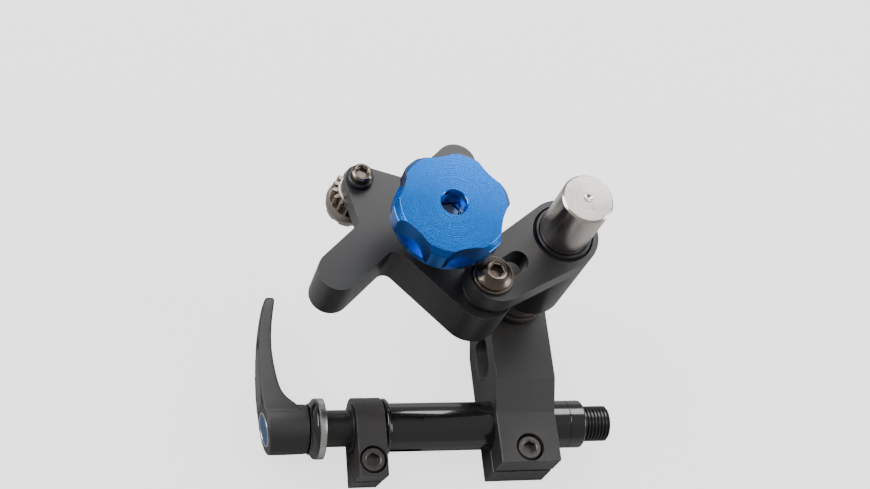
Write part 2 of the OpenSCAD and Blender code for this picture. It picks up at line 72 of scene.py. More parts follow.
postAxis = axisOf("arm_swing")
boltAxis = axisOf("plate_pivot")
knobAxis = axisOf("knob_turn")
cutterAxis = axisOf("cutter_turn")

# modelling helpers


def clearPick():
    for o in bpy.context.selected_objects:
        o.select_set(False)


def activate(piece):
    clearPick()
    piece.select_set(True)
    bpy.context.view_layer.objects.active = piece


def settle(piece):
    activate(piece)
    bpy.ops.object.transform_apply(location=True, rotation=True, scale=True)
    return piece


def addTube(name, radius, low, high, place=(0, 0), sides=96, topRadius=None):
    # upright round blank between two heights
    clearPick()
    middle = (*place, (low + high) / 2)
    if topRadius is None:
        bpy.ops.mesh.primitive_cylinder_add(vertices=sides, radius=radius, depth=high - low, location=middle)
    else:
        bpy.ops.mesh.primitive_cone_add(
            vertices=sides, radius1=radius, radius2=topRadius, depth=high - low, location=middle)
    piece = bpy.context.object
    piece.name = name
    return settle(piece)


def addBlock(name, low, high):
    clearPick()
    middle = [(a + b) / 2 for a, b in zip(low, high)]
    bpy.ops.mesh.primitive_cube_add(size=1, location=middle)
    piece = bpy.context.object
    piece.name = name
    piece.scale = [b - a for a, b in zip(low, high)]
    return settle(piece)


def turnTo(piece, axis, angle, centre=(0, 0, 0)):
    piece.data.transform(
        Matrix.Translation(centre) @ Matrix.Rotation(angle, 4, axis) @ Matrix.Translation(-Vector(centre)))
    piece.data.update()
    return piece


def enterEdit(piece, kind, pick="DESELECT"):
    activate(piece)
    bpy.ops.object.mode_set(mode="EDIT")
    bpy.ops.mesh.select_mode(type=kind)
    bpy.ops.mesh.select_all(action=pick)


def leaveEdit():
    bpy.ops.object.mode_set(mode="OBJECT")


def pickFaces(piece, test):
    enterEdit(piece, "FACE")
    leaveEdit()
    for face in piece.data.polygons:
        face.select = bool(test(face.center, face.normal))
    bpy.ops.object.mode_set(mode="EDIT")


def pickEdges(piece, test):
    enterEdit(piece, "EDGE")
    leaveEdit()
    points = piece.data.vertices
    for edge in piece.data.edges:
        edge.select = bool(test(points[edge.vertices[0]].co, points[edge.vertices[1]].co))
    bpy.ops.object.mode_set(mode="EDIT")


def smoothBy(piece, degrees):
    # smooth shading with sharp edges kept where the surface turns by more than the angle
    activate(piece)
    bpy.ops.object.shade_smooth_by_angle(angle=math.radians(degrees))


def applyAll(piece):
    activate(piece)
    for modifier in list(piece.modifiers):
        bpy.ops.object.modifier_apply(modifier=modifier.name)


def combine(piece, tool, way="DIFFERENCE"):
    activate(piece)
    modifier = piece.modifiers.new("combine", "BOOLEAN")
    modifier.operation = way
    modifier.solver = "EXACT"
    modifier.object = tool
    bpy.ops.object.modifier_apply(modifier=modifier.name)
    bpy.data.objects.remove(tool, do_unlink=True)
    return piece


def tidyMesh(piece, angle=0.3):
    activate(piece)
    bpy.ops.object.mode_set(mode="EDIT")
    bpy.ops.mesh.select_all(action="SELECT")
    bpy.ops.mesh.remove_doubles(threshold=0.000004)
    bpy.ops.mesh.dissolve_limited(angle_limit=math.radians(angle))
    leaveEdit()
    return piece


def soften(piece, width=0.0003, segments=1, angle=24):
    # a narrow chamfer on every edge
    # round walls stay smooth, because their facets meet at less than the angle
    modifier = piece.modifiers.new("edges", "BEVEL")
    modifier.width = width
    modifier.segments = segments
    modifier.limit_method = "ANGLE"
    modifier.angle_limit = math.radians(angle)
    modifier.miter_outer = "MITER_ARC"
    modifier.use_clamp_overlap = True
    applyAll(piece)
    smoothBy(piece, angle if segments == 1 else 40)
    if segments > 1:
        # keeps the flats flat beside rounded edges
        flatten = piece.modifiers.new("flatten", "WEIGHTED_NORMAL")
        flatten.keep_sharp = True
        flatten.weight = 80
        applyAll(piece)
    return piece


def copyOf(nodeName, name):
    # own copy of a CAD part, with its triangles joined up
    source = nodes[nodeName]
    piece = bpy.data.objects.new(name, source.data.copy())
    bpy.context.scene.collection.objects.link(piece)
    piece.data.materials.clear()
    return tidyMesh(piece)


def finishPiece(piece, body, slot, material, *standsFor):
    piece.data.materials.clear()
    piece.data.materials.append(material)
    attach(piece, body)
    if standsFor:
        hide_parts(*standsFor)
    return piece


# shader helpers


def socketAdd(group, name, kind, direction="INPUT", value=None):
    socket = group.interface.new_socket(name=name, in_out=direction, socket_type="NodeSocket" + kind)
    if value is not None:
        socket.default_value = value
    return socket


def place(tree, kind, **settings):
    node = tree.nodes.new(kind)
    for key, value in settings.items():
        setattr(node, key, value)
    return node


def makeGrainGroup():
    # fine bead-blast grain: a mask for colour and roughness, and a height
    group = bpy.data.node_groups.new("metalGrain", "ShaderNodeTree")
    socketAdd(group, "Vector", "Vector")
    socketAdd(group, "Fine Scale", "Float", value=2600.0)
    socketAdd(group, "Cloud Scale", "Float", value=45.0)
    socketAdd(group, "Cloud", "Float", "OUTPUT")
    socketAdd(group, "Grain", "Float", "OUTPUT")
    start = place(group, "NodeGroupInput")
    end = place(group, "NodeGroupOutput")
    fine = place(group, "ShaderNodeTexNoise")
    fine.inputs["Detail"].default_value = 3.0
    cloud = place(group, "ShaderNodeTexNoise")
    cloud.inputs["Detail"].default_value = 4.0
    cloud.inputs["Roughness"].default_value = 0.6
    group.links.new(start.outputs["Vector"], fine.inputs["Vector"])
    group.links.new(start.outputs["Vector"], cloud.inputs["Vector"])
    group.links.new(start.outputs["Fine Scale"], fine.inputs["Scale"])
    group.links.new(start.outputs["Cloud Scale"], cloud.inputs["Scale"])
    group.links.new(cloud.outputs["Fac"], end.inputs["Cloud"])
    group.links.new(fine.outputs["Fac"], end.inputs["Grain"])
    return group


def makeBrushGroup():
    # straight tool lines: noise stretched along one axis
    group = bpy.data.node_groups.new("brushLines", "ShaderNodeTree")
    socketAdd(group, "Vector", "Vector")
    socketAdd(group, "Stretch", "Vector", value=(1.0, 1.0, 0.02))
    socketAdd(group, "Scale", "Float", value=1800.0)
    socketAdd(group, "Lines", "Float", "OUTPUT")
    start = place(group, "NodeGroupInput")
    end = place(group, "NodeGroupOutput")
    squeeze = place(group, "ShaderNodeVectorMath", operation="MULTIPLY")
    noise = place(group, "ShaderNodeTexNoise")
    noise.inputs["Detail"].default_value = 2.0
    group.links.new(start.outputs["Vector"], squeeze.inputs[0])
    group.links.new(start.outputs["Stretch"], squeeze.inputs[1])
    group.links.new(squeeze.outputs["Vector"], noise.inputs["Vector"])
    group.links.new(start.outputs["Scale"], noise.inputs["Scale"])
    group.links.new(noise.outputs["Fac"], end.inputs["Lines"])
    return group


def makeTurnGroup():
    # lathe rings round an upright axis through Centre
    group = bpy.data.node_groups.new("latheRings", "ShaderNodeTree")
    socketAdd(group, "Vector", "Vector")
    socketAdd(group, "Centre", "Vector")
    socketAdd(group, "Ring Scale", "Float", value=2400.0)
    socketAdd(group, "Rings", "Float", "OUTPUT")
    start = place(group, "NodeGroupInput")
    end = place(group, "NodeGroupOutput")
    shift = place(group, "ShaderNodeVectorMath", operation="SUBTRACT")
    flat = place(group, "ShaderNodeVectorMath", operation="MULTIPLY")
    flat.inputs[1].default_value = (1.0, 1.0, 0.0)
    length = place(group, "ShaderNodeVectorMath", operation="LENGTH")
    noise = place(group, "ShaderNodeTexNoise", noise_dimensions="1D")
    noise.inputs["Detail"].default_value = 3.0
    group.links.new(start.outputs["Vector"], shift.inputs[0])
    group.links.new(start.outputs["Centre"], shift.inputs[1])
    group.links.new(shift.outputs["Vector"], flat.inputs[0])
    group.links.new(flat.outputs["Vector"], length.inputs[0])
    group.links.new(length.outputs["Value"], noise.inputs["W"])
    group.links.new(start.outputs["Ring Scale"], noise.inputs["Scale"])
    group.links.new(noise.outputs["Fac"], end.inputs["Rings"])
    return group


def makeEdgeHighlightGroup():
    # painted highlight: a pale line where the surface turns over an edge, broken up by noise
    group = bpy.data.node_groups.new("paintedEdgeHighlight", "ShaderNodeTree")
    socketAdd(group, "Vector", "Vector")
    socketAdd(group, "Width", "Float", value=0.0003)
    socketAdd(group, "Break Scale", "Float", value=260.0)
    socketAdd(group, "Highlight", "Float", "OUTPUT")
    start = place(group, "NodeGroupInput")
    end = place(group, "NodeGroupOutput")
    shape = place(group, "ShaderNodeNewGeometry")
    rounded = place(group, "ShaderNodeBevel")
    match = place(group, "ShaderNodeVectorMath", operation="DOT_PRODUCT")
    edge = place(group, "ShaderNodeMapRange")
    edge.inputs["From Min"].default_value = 0.995
    edge.inputs["From Max"].default_value = 0.955
    noise = place(group, "ShaderNodeTexNoise")
    noise.inputs["Detail"].default_value = 5.0
    ramp = place(group, "ShaderNodeMapRange")
    ramp.inputs["From Min"].default_value = 0.42
    ramp.inputs["From Max"].default_value = 0.66
    both = place(group, "ShaderNodeMath", operation="MULTIPLY", use_clamp=True)
    group.links.new(start.outputs["Width"], rounded.inputs["Radius"])
    group.links.new(shape.outputs["Normal"], match.inputs[0])
    group.links.new(rounded.outputs["Normal"], match.inputs[1])
    group.links.new(match.outputs["Value"], edge.inputs["Value"])
    group.links.new(start.outputs["Vector"], noise.inputs["Vector"])
    group.links.new(start.outputs["Break Scale"], noise.inputs["Scale"])
    group.links.new(noise.outputs["Fac"], ramp.inputs["Value"])
    group.links.new(edge.outputs["Result"], both.inputs[0])
    group.links.new(ramp.outputs["Result"], both.inputs[1])
    group.links.new(both.outputs["Value"], end.inputs["Highlight"])
    return group


grainGroup = makeGrainGroup()
brushGroup = makeBrushGroup()
turnGroup = makeTurnGroup()
edgeHighlightGroup = makeEdgeHighlightGroup()


def groupNode(tree, group, **values):
    node = tree.nodes.new("ShaderNodeGroup")
    node.node_tree = group
    for key, value in values.items():
        node.inputs[key.replace("_", " ")].default_value = value
    return node


def mathNode(tree, operation, first, second, clamp=False):
    node = place(tree, "ShaderNodeMath", operation=operation, use_clamp=clamp)
    for socket, value in zip(node.inputs, (first, second)):
        if isinstance(value, (int, float)):
            socket.default_value = value
        else:
            tree.links.new(value, socket)
    return node.outputs["Value"]


def mixColour(tree, share, first, second):
    node = place(tree, "ShaderNodeMix", data_type="RGBA")
    for socket, value in ((node.inputs[0], share), (node.inputs[6], first), (node.inputs[7], second)):
        if isinstance(value, (int, float)):
            socket.default_value = value
        elif isinstance(value, (tuple, list)):
            socket.default_value = (*value, 1.0)
        else:
            tree.links.new(value, socket)
    return node.outputs[2]


def metalMaterial(name, colour, darker, metallic, roughness, spread=0.08, grain=0.04, lines=0.0,
                  stretch=(1.0, 1.0, 0.02), lineScale=1800.0, rings=0.0, centre=(0, 0, 0), ringScale=2400.0,
                  edgeHighlight=0.0, highlightColour=(0.16, 0.155, 0.15), coat=0.0, coatRoughness=0.1, fineScale=2600.0,
                  cloudScale=45.0):
    material = bpy.data.materials.new(name)
    material.use_nodes = True
    tree = material.node_tree
    shader = tree.nodes["Principled BSDF"]
    point = place(tree, "ShaderNodeTexCoord").outputs["Object"]
    grains = groupNode(tree, grainGroup, Fine_Scale=fineScale, Cloud_Scale=cloudScale)
    tree.links.new(point, grains.inputs["Vector"])
    tone = mathNode(tree, "MULTIPLY", grains.outputs["Cloud"], 0.9, True)
    height = mathNode(tree, "MULTIPLY", grains.outputs["Grain"], grain)
    rough = mathNode(tree, "MULTIPLY", mathNode(tree, "SUBTRACT", grains.outputs["Cloud"], 0.5), spread * 2)
    rough = mathNode(tree, "ADD", rough, roughness, True)
    if lines:
        brush = groupNode(tree, brushGroup, Stretch=stretch, Scale=lineScale)
        tree.links.new(point, brush.inputs["Vector"])
        height = mathNode(tree, "ADD", height, mathNode(tree, "MULTIPLY", brush.outputs["Lines"], lines))
        tone = mathNode(tree, "MULTIPLY", mathNode(tree, "ADD", tone, brush.outputs["Lines"]), 0.5)
    if rings:
        turned = groupNode(tree, turnGroup, Centre=centre, Ring_Scale=ringScale)
        tree.links.new(point, turned.inputs["Vector"])
        height = mathNode(tree, "ADD", height, mathNode(tree, "MULTIPLY", turned.outputs["Rings"], rings))
    base = mixColour(tree, tone, colour, darker)
    # a pale line painted along the edges as a highlight on the chamfers
    if edgeHighlight:
        paintedShine = groupNode(tree, edgeHighlightGroup)
        tree.links.new(point, paintedShine.inputs["Vector"])
        share = mathNode(tree, "MULTIPLY", paintedShine.outputs["Highlight"], edgeHighlight, True)
        base = mixColour(tree, share, base, highlightColour)
    bump = place(tree, "ShaderNodeBump")
    bump.inputs["Strength"].default_value = 0.5
    bump.inputs["Distance"].default_value = 0.0001
    tree.links.new(height, bump.inputs["Height"])
    tree.links.new(bump.outputs["Normal"], shader.inputs["Normal"])
    tree.links.new(base, shader.inputs["Base Color"])
    tree.links.new(rough, shader.inputs["Roughness"])
    shader.inputs["Metallic"].default_value = metallic
    shader.inputs["Coat Weight"].default_value = coat
    shader.inputs["Coat Roughness"].default_value = coatRoughness
    return material


# the black plate, column and lever get a pale painted highlight along their edges
plateBlack = metalMaterial("plateBlack", (0.013, 0.0125, 0.014), (0.009, 0.009, 0.010), 0.0, 0.36,
                           grain=0.25, edgeHighlight=0.55)
columnBlack = metalMaterial("columnBlack", (0.022, 0.020, 0.019), (0.015, 0.014, 0.0135), 0.0, 0.42,
                            grain=0.25, lines=0.4, stretch=(1.0, 0.02, 1.0), edgeHighlight=0.55)
tubeBlack = metalMaterial("tubeBlack", (0.006, 0.006, 0.0065), (0.004, 0.004, 0.0045), 0.0, 0.16,
                          spread=0.04, grain=0.03, coat=0.6, coatRoughness=0.06)
axleBlack = metalMaterial("axleBlack", (0.012, 0.012, 0.013), (0.008, 0.008, 0.009), 0.0, 0.3, grain=0.1)
sleeveBlack = metalMaterial("sleeveBlack", (0.010, 0.010, 0.011), (0.007, 0.007, 0.008), 0.0, 0.34, grain=0.1)
postSteel = metalMaterial("postSteel", (0.66, 0.605, 0.56), (0.57, 0.52, 0.48), 1.0, 0.2, spread=0.06,
                          grain=0.02, lines=0.6, stretch=(0.02, 0.02, 1.0), lineScale=9000.0, rings=0.25,
                          centre=(postAxis.x, postAxis.y, 0))
bushingSteel = metalMaterial("bushingSteel", (0.05, 0.05, 0.055), (0.03, 0.03, 0.035), 0.9, 0.3, grain=0.1,
                             rings=0.4, centre=(postAxis.x, postAxis.y, 0))
screwBlack = metalMaterial("screwBlack", (0.105, 0.098, 0.093), (0.055, 0.051, 0.048), 0.8, 0.36,
                           grain=0.2)
boltBrown = metalMaterial("boltBrown", (0.17, 0.14, 0.115), (0.085, 0.07, 0.058), 0.95, 0.26, spread=0.14,
                          grain=0.12, cloudScale=160.0)
spindleZinc = metalMaterial("spindleZinc", (0.15, 0.16, 0.11), (0.19, 0.12, 0.13), 0.95, 0.24, spread=0.1,
                            grain=0.1, cloudScale=420.0)
collarBrown = metalMaterial("collarBrown", (0.060, 0.050, 0.042), (0.035, 0.030, 0.026), 0.6, 0.4, grain=0.15)
washerSilver = metalMaterial("washerSilver", (0.58, 0.56, 0.53), (0.45, 0.43, 0.41), 1.0, 0.28, grain=0.1)
gearSteel = metalMaterial("gearSteel", (0.40, 0.37, 0.34), (0.28, 0.26, 0.24), 1.0, 0.32, grain=0.12)
cutterSteel = metalMaterial("cutterSteel", (0.33, 0.28, 0.24), (0.20, 0.17, 0.145), 1.0, 0.34, spread=0.12,
                            grain=0.2, cloudScale=130.0)
nylonWhite = metalMaterial("nylonWhite", (0.82, 0.82, 0.79), (0.76, 0.76, 0.73), 0.0, 0.45, grain=0.1)
knobBlue = metalMaterial("knobBlue", (0.010, 0.125, 0.48), (0.007, 0.095, 0.40), 1.0, 0.24, spread=0.05,
                         grain=0.05, rings=0.35, centre=(knobAxis.x, knobAxis.y, 0), coat=0.15,
                         coatRoughness=0.12)
leverGrey = metalMaterial("leverGrey", (0.015, 0.015, 0.0148), (0.010, 0.010, 0.010), 0.0, 0.5, grain=0.4,
                          fineScale=1700.0, edgeHighlight=0.35)
badgeBlue = metalMaterial("badgeBlue", (0.008, 0.07, 0.22), (0.006, 0.05, 0.17), 0.6, 0.4, grain=0.02)
print("materials ready")

slotMaterials = {
    "plate_black": plateBlack, "column_black": columnBlack, "tube_black": tubeBlack, "axle_black": axleBlack,
    "sleeve_black": sleeveBlack, "post_steel": postSteel, "bushing_steel": bushingSteel,
    "screw_black": screwBlack, "bolt_brown": boltBrown, "washer_silver": washerSilver,
    "gear_steel": gearSteel, "cutter_steel": cutterSteel, "nylon_white": nylonWhite, "knob_blue": knobBlue,
    "lever_grey": leverGrey, "badge_blue": badgeBlue,
}
for part in frame["record"]["subparts"]:
    node = nodes[part["node"]]
    if not node.material_slots:
        node.data.materials.append(None)
    for slot in node.material_slots:
        slot.material = slotMaterials[part["material_slot"]]

# round blanks and screws


def spinProfile(name, profile, centre=(0.0, 0.0, 0.0), sides=128, alongX=False):
    # closed outline of (radius, height) points, in millimetres, spun round its own upright axis
    # a plane is merged to one point, and that point is extruded round the outline
    clearPick()
    bpy.ops.mesh.primitive_plane_add(size=0.001)
    piece = bpy.context.object
    piece.name = name
    bpy.ops.object.mode_set(mode="EDIT")
    bpy.ops.mesh.select_mode(type="VERT")
    bpy.ops.mesh.select_all(action="SELECT")
    bpy.ops.mesh.merge(type="CENTER")
    radius, height = profile[0]
    bpy.ops.transform.translate(value=(mm(radius), 0, mm(height)))
    for nextRadius, nextHeight in profile[1:] + profile[:1]:
        step = (mm(nextRadius - radius), 0, mm(nextHeight - height))
        bpy.ops.mesh.extrude_region_move(TRANSFORM_OT_translate={"value": step})
        radius, height = nextRadius, nextHeight
    bpy.ops.mesh.select_all(action="SELECT")
    bpy.ops.mesh.spin(steps=sides, angle=math.tau, center=(0, 0, 0), axis=(0, 0, 1))
    bpy.ops.mesh.select_all(action="SELECT")
    bpy.ops.mesh.remove_doubles(threshold=0.000003)
    bpy.ops.mesh.normals_make_consistent(inside=False)
    leaveEdit()
    if alongX:
        turnTo(piece, "Y", math.pi / 2)
    piece.data.transform(Matrix.Translation(centre))
    smoothBy(piece, 28)
    return piece


def hexTool(across, low, high, place=(0, 0), turn=0.0):
    tool = addTube("hexTool", across / 2 / math.cos(math.pi / 6), low, high, (0, 0), 6)
    turnTo(tool, "Z", turn)
    tool.data.transform(Matrix.Translation((place[0], place[1], 0)))
    return tool


def makeCapScrew(name, setup):
    # socket head with a chamfered rim, a hex socket and, if asked for, a knurled side
    # the underside of the head is at height 0
    radius, height = setup["headRadius"], setup["headHeight"]
    shank, reach, knurls = setup["shank"], setup["reach"], setup["knurls"]
    mouth = setup["across"] / 2 + 0.45      # dished rim of the socket
    head = spinProfile(name, [
        (0, -reach), (shank - 0.3, -reach), (shank, 0.3 - reach), (shank, 0), (radius - 0.2, 0),
        (radius, 0.25), (radius, height * 0.8), (radius - 0.45, height - 0.25), (radius - 0.75, height),
        (mouth + 0.3, height), (mouth, height - 0.2), (0, height - 0.2)], sides=knurls * 2)
    if setup["knurlDepth"]:
        step = math.tau / (knurls * 2)

        def isGroove(a, b):
            upright = abs(a.z - b.z) > mm(height * 0.4) and min(a.z, b.z) >= -1e-6
            outer = math.hypot(a.x, a.y) > mm(radius) - 1e-5
            return upright and outer and round(math.atan2(a.y, a.x) / step) % 2 == 0
        pickEdges(head, isGroove)
        shrink = (radius - setup["knurlDepth"]) / radius
        bpy.ops.transform.resize(value=(shrink, shrink, 1), center_override=(0, 0, 0))
        leaveEdit()
    combine(head, hexTool(mm(setup["across"]), mm(height - setup["socketDepth"]), mm(height + 1)))
    smoothBy(head, 30)
    return head


def putPiece(piece, matrix):
    piece.data.transform(matrix)
    piece.data.update()
    return piece


def twinOf(piece, name):
    twin = bpy.data.objects.new(name, piece.data.copy())
    bpy.context.scene.collection.objects.link(twin)
    return twin


capScrew = {"headRadius": 5.25, "headHeight": 5.2, "shank": 2.95, "reach": 12.0, "across": 5.0,
            "socketDepth": 2.8, "knurls": 40, "knurlDepth": 0.16,
            # lean of the small clamp's screw in degrees, and the middle of its head's top
            "collarLean": 6.0, "collarHead": (0, -15.6, 11.7)}


def makeClampScrews():
    first = makeCapScrew("columnScrew", capScrew)
    second = twinOf(first, "collarScrew")
    low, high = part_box("column_screw")
    middle = (low + high) / 2
    putPiece(first, Matrix.Translation((middle.x, middle.y, high.z - mm(capScrew["headHeight"]))))
    finishPiece(first, "column", "screw_black", screwBlack, "column_screw")
    low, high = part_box("collar_screw")
    x, y, z = capScrew["collarHead"]
    putPiece(second, Matrix.Translation(((low.x + high.x) / 2, 0, 0))
             @ Matrix.Rotation(math.radians(capScrew["collarLean"]), 4, "X")
             @ Matrix.Translation((x, mm(y), mm(z - capScrew["headHeight"]))))
    finishPiece(second, "collar", "screw_black", screwBlack, "collar_screw")


postScrewSetup = {"headRadius": 6.45, "headHeight": 4.6, "shank": 3.95, "reach": 15.0, "across": 7.0,
                  "socketDepth": 2.4, "knurls": 48, "knurlDepth": 0.18}


def makePostScrew():
    setup = postScrewSetup
    screw = makeCapScrew("postScrew", setup)
    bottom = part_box("post_screw")[0].z
    putPiece(screw, Matrix.Translation((postAxis.x, postAxis.y, bottom + mm(setup["headHeight"])))
             @ Matrix.Rotation(math.pi, 4, "X"))
    finishPiece(screw, "column", "screw_black", screwBlack, "post_screw")


spindleScrewSetup = {"headRadius": 3.95, "headHeight": 3.0, "shank": 2.95, "reach": 19.0, "across": 4.4,
                     "socketDepth": 2.1, "knurls": 48, "knurlDepth": 0.0,
                     "leadIn": [(0, 2.35), (2.35, 2.35), (2.75, 2.75), (2.95, 4), (0, 4)]}


def makeSpindleScrew():
    setup = spindleScrewSetup
    screw = makeCapScrew("spindleScrew", setup)
    leadIn = spinProfile("leadIn", setup["leadIn"], sides=96)
    combine(screw, leadIn)
    smoothBy(screw, 30)
    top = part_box("spindle_screw")[1].z
    putPiece(screw, Matrix.Translation((cutterAxis.x, cutterAxis.y, top - mm(setup["headHeight"]))))
    finishPiece(screw, "cutter", "bolt_brown", spindleZinc, "spindle_screw")


slotBoltSetup = {
    "seat": 84.0, "socket": 5.0, "socketFloor": 1.3, "socketTurn": 0.3,
    # outline of radius and height above the seat: shank, flange, dished head, bright rim
    "outline": [(0, -36), (3.7, -36), (3.95, -35.6), (3.95, 0), (6.7, 0), (6.95, 0.2), (6.95, 0.75),
                (6.6, 1.15), (5.9, 1.55), (5.1, 2.25), (4.5, 3.0), (4.15, 3.75), (3.95, 4.05), (3.65, 4.18),
                (3.25, 4.05), (3.1, 3.8), (0, 3.8)],
    "washerSeat": 82.5,
    "washer": [(4.15, 0.05), (7.75, 0.05), (7.95, 0.3), (7.95, 1.15), (7.7, 1.45), (4.4, 1.45),
               (4.15, 1.2)],
}


def makeSlotBolt():
    s = slotBoltSetup
    spot = (boltAxis.x, boltAxis.y)
    base = mm(s["seat"])
    bolt = spinProfile("slotBolt", s["outline"], centre=(*spot, base), sides=96)
    socket = hexTool(mm(s["socket"]), base + mm(s["socketFloor"]), base + mm(6), spot, s["socketTurn"])
    combine(bolt, socket)
    smoothBy(bolt, 30)
    finishPiece(bolt, "slider", "bolt_brown", boltBrown, "slot_bolt")
    washer = spinProfile("slotWasher", s["washer"], centre=(*spot, mm(s["washerSeat"])), sides=96)
    finishPiece(washer, "slider", "bolt_brown", boltBrown, "slot_washer")


# knob

knobSetup = {"lobe": 22.3, "flange": 20.8, "flangeHeight": 3.6, "height": 14.8, "face": 20.6,
             "scallops": 6, "scallop": 25.0, "scallopDepth": 3.2, "turn": 40.0, "hole": 4.95,
             "counterbore": 4.4, "hex": 8.0, "hexTurn": 12.0, "bossHole": 5.05, "bossDepth": 6.6}


def makeKnob():
    s = knobSetup
    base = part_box("drive_knob")[0].z
    place = (knobAxis.x, knobAxis.y)
    h, lobe, flange, flangeTop = s["height"], s["lobe"], s["flange"], s["flangeHeight"]
    hole, shelf, hexHalf = s["hole"], h - s["counterbore"], s["hex"] / 2
    knob = spinProfile("driveKnob", [
        (s["bossHole"], 0), (flange - 0.9, 0), (flange, 0.9), (flange, flangeTop),
        (lobe - 0.5, flangeTop + 0.1), (lobe, flangeTop + 0.6), (lobe, h - 2.75), (lobe - 0.35, h - 2.6),
        (lobe - 0.35, h - 2.3), (lobe - 0.1, h - 2.1), (s["face"], h - 0.15), (s["face"] - 0.2, h),
        (hole + 0.35, h), (hole, h - 0.3), (hole, shelf), (hexHalf, shelf), (hexHalf, s["bossDepth"]),
        (s["bossHole"], s["bossDepth"])], centre=(*place, base), sides=240)
    reach = mm(lobe - s["scallopDepth"] + s["scallop"])
    for k in range(s["scallops"]):
        angle = math.radians(s["turn"]) + math.tau * k / s["scallops"]
        spot = (place[0] + reach * math.cos(angle), place[1] + reach * math.sin(angle))
        combine(knob, addTube("scallop", mm(s["scallop"]), base + mm(flangeTop), base + mm(h + 3), spot, 200))
    low, high = base + mm(s["bossDepth"] + 0.1), base + mm(h - 1.0)
    combine(knob, hexTool(mm(s["hex"]), low, high, place, math.radians(s["hexTurn"])))
    tidyMesh(knob, 0.4)
    soften(knob, mm(0.22), 2)
    return finishPiece(knob, "knob", "knob_blue", knobBlue, "drive_knob")


# lever

leverSetup = {
    # height, outer side, inner side, half width
    "rows": [
        (-6.0, -33.6, -20.6, 7.5), (2.0, -34.8, -18.6, 9.0), (7.5, -35.8, -21.2, 8.6),
        (10.4, -36.1, -25.2, 8.2), (14.0, -36.4, -27.9, 7.7), (19.5, -36.5, -29.1, 7.0),
        (26.0, -36.4, -29.9, 6.2), (33.0, -36.0, -30.4, 5.5), (40.0, -35.3, -30.1, 5.0),
        (47.0, -34.2, -29.2, 4.6), (53.0, -32.9, -28.1, 4.2), (57.9, -31.5, -27.1, 3.8)],
    "channelFrom": 8.0, "channelTo": 42.0, "channelLip": 1.3, "channelWall": 0.6,
    "channelDepth": 2.4, "edgeRound": 1.3, "voxel": 0.36,
    "barrel": 10.25, "faceTilt": 8.5, "faceAt": -34.75,
    # outlines of radius and place along the axle; the badge's are measured from the leaning face
    "bore": [(0, -32.2), (6.05, -32.2), (6.05, -16), (0, -16)],
    "seat": [(0, -3), (7.25, -3), (7.25, 0.6), (0, 0.6)],
    "badge": [(0, -0.15), (4.6, -0.05), (6.25, 0.0), (6.25, 0.55), (0, 0.55)],
    "rim": [(6.3, 0.1), (6.5, -0.2), (6.9, -0.2), (7.15, 0.1), (7.15, 0.55), (6.3, 0.55)],
}


def leverBlade(s):
    # a block drawn out row by row, with a thumb channel down its outer side
    rows = s["rows"]
    clearPick()
    bpy.ops.mesh.primitive_plane_add(size=1)
    blade = bpy.context.object
    blade.name = "leverHandle"
    # the plane faces +Y, the way it is drawn out
    turnTo(blade, "X", -math.pi / 2)
    height, outer, inner, half = rows[0]
    blade.data.transform(Matrix.Translation((mm((outer + inner) / 2), mm(height), 0))
                         @ Matrix.Diagonal((mm(inner - outer), 1, mm(2 * half), 1)))
    enterEdit(blade, "FACE", "SELECT")
    for before, row in zip(rows, rows[1:]):
        middle = (mm((row[1] + row[2]) / 2), mm(row[0]), 0)
        shift = (mm((row[1] + row[2] - before[1] - before[2]) / 2), mm(row[0] - before[0]), 0)
        bpy.ops.mesh.extrude_region_move(TRANSFORM_OT_translate={"value": shift})
        bpy.ops.transform.resize(value=((row[2] - row[1]) / (before[2] - before[1]), 1, row[3] / before[3]),
                                 center_override=middle)
    bpy.ops.mesh.select_all(action="SELECT")
    bpy.ops.mesh.normals_make_consistent(inside=False)
    leaveEdit()
    pickFaces(blade, lambda c, n: n.x < -0.7 and mm(s["channelFrom"]) < c.y < mm(s["channelTo"]))
    bpy.ops.mesh.inset(thickness=mm(s["channelLip"]), depth=0)
    bpy.ops.mesh.inset(thickness=mm(s["channelWall"]), depth=-mm(s["channelDepth"]))
    leaveEdit()

    def isLongEdge(a, b):
        return abs(a.y - b.y) > mm(2) and abs(a.z) > mm(3.7) and abs(a.z - b.z) < mm(1.8)
    pickEdges(blade, isLongEdge)
    bpy.ops.mesh.bevel(offset=mm(s["edgeRound"]), segments=3, affect="EDGES", clamp_overlap=True)
    leaveEdit()
    modifier = blade.modifiers.new("round", "SUBSURF")
    modifier.levels = modifier.render_levels = 3
    applyAll(blade)
    return blade


def leverBarrel(s, faceMove):
    # the outer face of the barrel leans
    r = s["barrel"]
    barrel = spinProfile("barrel", [
        (0, -40), (r - 0.1, -40), (r, -27), (r - 0.2, -19), (r - 0.35, -17.8), (r - 0.7, -17.45),
        (0, -17.45)], alongX=True, sides=160)
    trim = addBlock("trim", (-0.02, -0.02, -0.02), (0, 0.02, 0.02))
    return combine(barrel, putPiece(trim, faceMove))


